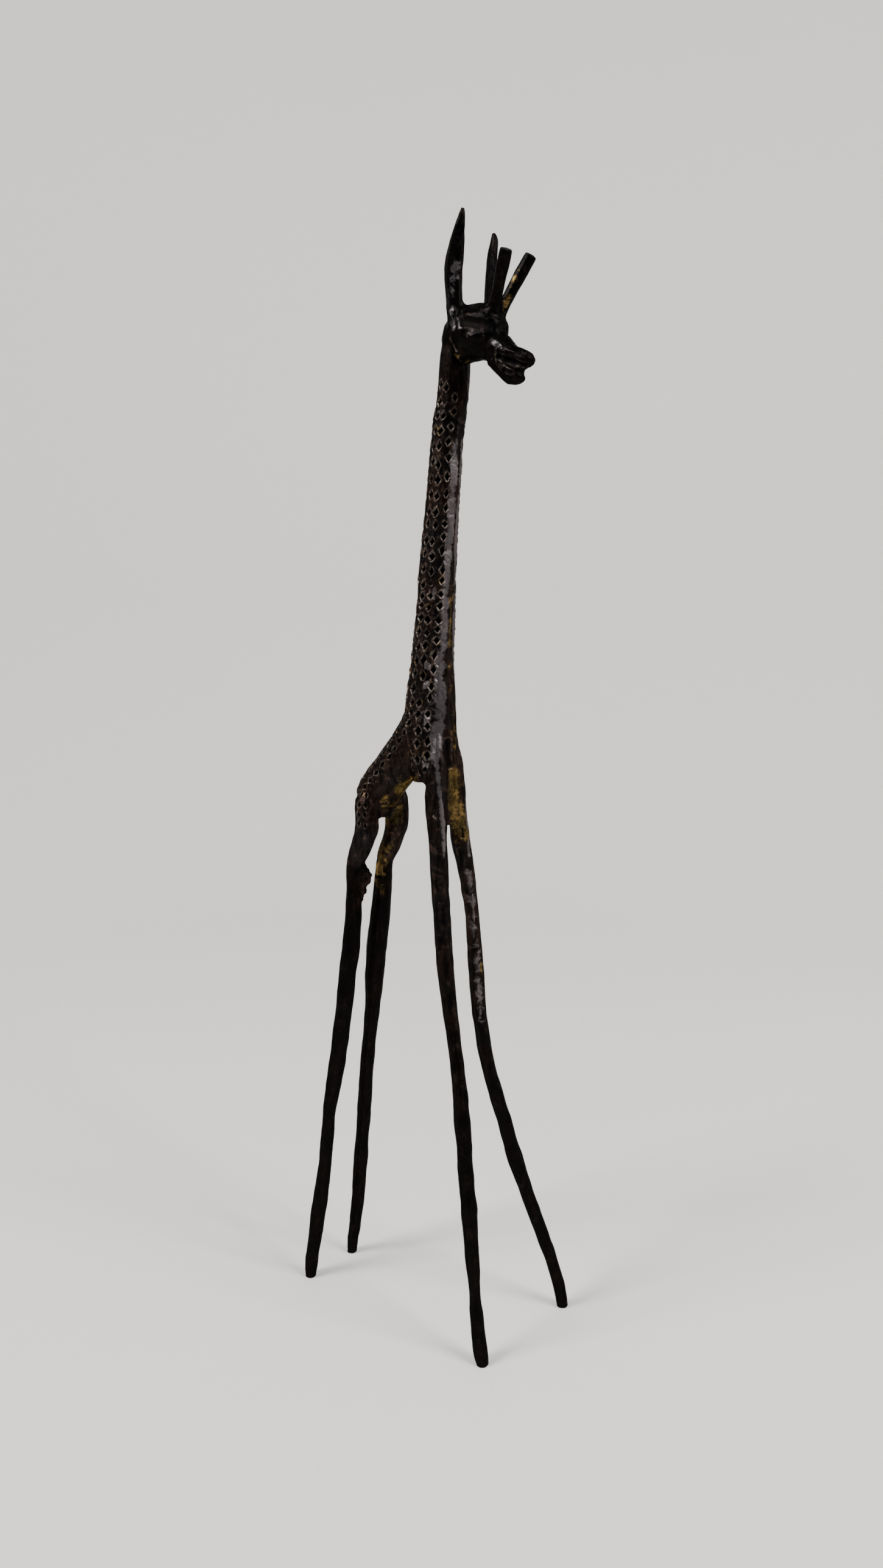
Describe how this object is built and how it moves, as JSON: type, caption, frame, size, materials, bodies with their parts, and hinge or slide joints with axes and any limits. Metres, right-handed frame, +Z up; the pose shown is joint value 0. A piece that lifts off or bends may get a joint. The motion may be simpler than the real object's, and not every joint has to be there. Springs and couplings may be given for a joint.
{
  "type": "giraffe statuette",
  "caption": "Tall standing giraffe figurine in dark cast bronze with long rod legs, a pitted neck, upright ears and two horns.",
  "frame": {"origin": "middle of the footprint's bounding box, on the surface that the four feet stand on", "axes": "+X the way the animal faces, +Y its left, +Z up"},
  "size_m": [0.0713, 0.0388, 0.2968],
  "materials": {
    "bronze": "dark brown patina, satin, worn to lighter metal on its ridges",
    "dark_bronze": "near-black patina, satin",
    "worn_bronze": "patina rubbed through to olive and gold metal, rough"
  },
  "bodies": {
    "root": {"neck": "bronze", "chest_web": "worn_bronze", "trunk": "bronze", "front_right_leg": "bronze", "front_left_leg": "bronze", "rear_right_thigh": "bronze", "rear_left_thigh": "bronze", "rear_right_leg": "dark_bronze", "rear_left_leg": "dark_bronze", "casting_fin": "worn_bronze", "skull": "dark_bronze", "muzzle": "dark_bronze", "lower_jaw": "dark_bronze", "right_ear": "dark_bronze", "left_ear": "dark_bronze", "right_horn": "dark_bronze", "left_horn": "dark_bronze"}
  },
  "joints": []
}
